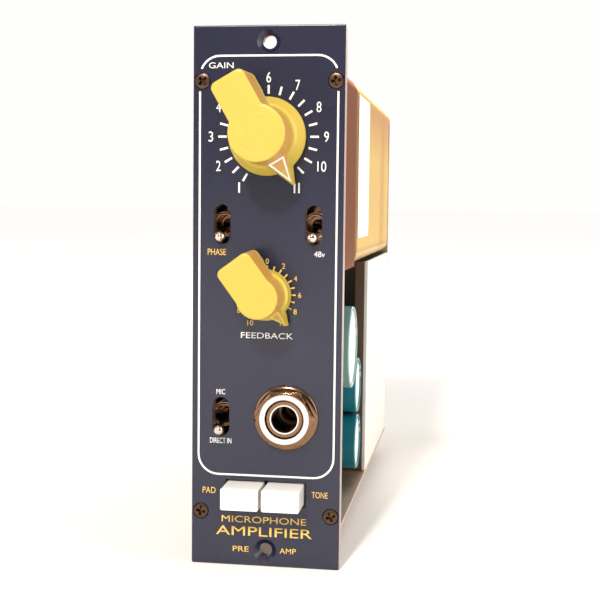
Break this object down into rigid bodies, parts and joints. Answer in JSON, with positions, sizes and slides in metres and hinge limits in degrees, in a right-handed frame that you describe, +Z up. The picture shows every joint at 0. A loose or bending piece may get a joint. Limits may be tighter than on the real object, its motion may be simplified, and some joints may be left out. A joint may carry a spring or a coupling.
{
  "type": "microphone preamp module",
  "caption": "Slim rack-module microphone preamp: dark panel with pointer knobs, toggle switches, a jack socket and push buttons, on an open chassis with a shielded transformer can.",
  "frame": {"origin": "centre of the front panel's bottom edge face, midway through the panel's thickness", "axes": "+Z up along the panel, +Y into the rack along the module's depth, +X to the right as seen from the front"},
  "size_m": [0.0376, 0.174, 0.1333],
  "materials": {
    "panel_paint": "dark blue powder coat with white and gold print, satin",
    "plated_steel": "folded sheet, pale warm plating, satin",
    "gilt_can": "drawn can with a golden passivated finish, polished",
    "bronze_steel": "bronze-black oxide, satin",
    "chrome": "polished nickel plating",
    "brass_turned": "turned brass, bright",
    "knob_yellow": "moulded plastic, semi-gloss",
    "button_white": "moulded plastic, semi-gloss",
    "black_plastic": "moulded plastic, matte",
    "board_laminate": "glass-fibre board with dark solder mask",
    "capacitor_sleeve": "shrink sleeve over an aluminium can",
    "film_box": "moulded box",
    "lamination": "stacked transformer sheets",
    "winding": "taped winding",
    "label_paper": "plain matt paper"
  },
  "bodies": {
    "root": {"board_screw_1": "bronze_steel", "board_screw_2": "bronze_steel", "board_screw_3": "bronze_steel", "board_screw_4": "bronze_steel", "board_spacer_1": "brass_turned", "board_spacer_2": "brass_turned", "board_spacer_3": "brass_turned", "board_spacer_4": "brass_turned", "can_label": "label_paper", "can_screw_1": "bronze_steel", "can_screw_2": "bronze_steel", "capacitor_lower": "capacitor_sleeve", "capacitor_middle": "capacitor_sleeve", "capacitor_upper": "capacitor_sleeve", "chassis": "plated_steel", "control_board": "board_laminate", "cover_screw_1": "bronze_steel", "cover_screw_2": "bronze_steel", "feedback_nut": "chrome", "feedback_pot_body": "plated_steel", "feedback_washer": "chrome", "film_capacitor": "film_box", "front_cowl": "bronze_steel", "front_panel": "panel_paint", "gain_nut": "chrome", "gain_pot_body": "plated_steel", "gain_washer": "chrome", "input_coil": "winding", "input_core": "lamination", "input_switch_body": "chrome", "jack_body": "black_plastic", "jack_bushing": "chrome", "jack_nut": "chrome", "jack_washer": "chrome", "main_board": "board_laminate", "output_coil": "winding", "output_core": "lamination", "pad_switch_body": "black_plastic", "panel_screw_1": "bronze_steel", "panel_screw_2": "bronze_steel", "panel_screw_3": "bronze_steel", "panel_screw_4": "bronze_steel", "phantom_switch_body": "chrome", "phase_switch_body": "chrome", "shield_can": "gilt_can", "side_cover": "plated_steel", "tone_switch_body": "black_plastic", "transistor_1": "brass_turned", "transistor_2": "brass_turned"},
    "gain_control": {"gain_knob": "knob_yellow", "gain_shaft": "brass_turned", "gain_set_screw": "bronze_steel"},
    "feedback_control": {"feedback_knob": "knob_yellow", "feedback_shaft": "brass_turned", "feedback_set_screw": "bronze_steel"},
    "phase_toggle": {"phase_lever": "chrome"},
    "phantom_toggle": {"phantom_lever": "chrome"},
    "input_toggle": {"input_lever": "chrome"},
    "pad_push": {"pad_button": "button_white"},
    "tone_push": {"tone_button": "button_white"}
  },
  "joints": [
    {"name": "gain_turn", "type": "hinge", "parent": "root", "child": "gain_control", "pos_m": [0, -0.0016, 0.10655], "axis": [0, -1, 0], "range_deg": [0, 300]},
    {"name": "feedback_turn", "type": "hinge", "parent": "root", "child": "feedback_control", "pos_m": [0, -0.0016, 0.06815], "axis": [0, -1, 0], "range_deg": [-6.5, 293.5]},
    {"name": "phase_flip", "type": "hinge", "parent": "root", "child": "phase_toggle", "pos_m": [-0.01135, 0.006, 0.08525], "axis": [-1, 0, 0], "range_deg": [0, 34]},
    {"name": "phantom_flip", "type": "hinge", "parent": "root", "child": "phantom_toggle", "pos_m": [0.01135, 0.006, 0.08525], "axis": [-1, 0, 0], "range_deg": [0, 34]},
    {"name": "input_flip", "type": "hinge", "parent": "root", "child": "input_toggle", "pos_m": [-0.01135, 0.006, 0.0375], "axis": [-1, 0, 0], "range_deg": [0, 34]},
    {"name": "pad_press", "type": "slide", "parent": "root", "child": "pad_push", "axis": [0, 1, 0], "range_m": [0, 0.003], "stiffness_N_per_m": 200, "springref_m": -0.001},
    {"name": "tone_press", "type": "slide", "parent": "root", "child": "tone_push", "axis": [0, 1, 0], "range_m": [0, 0.003], "stiffness_N_per_m": 200, "springref_m": -0.001}
  ]
}
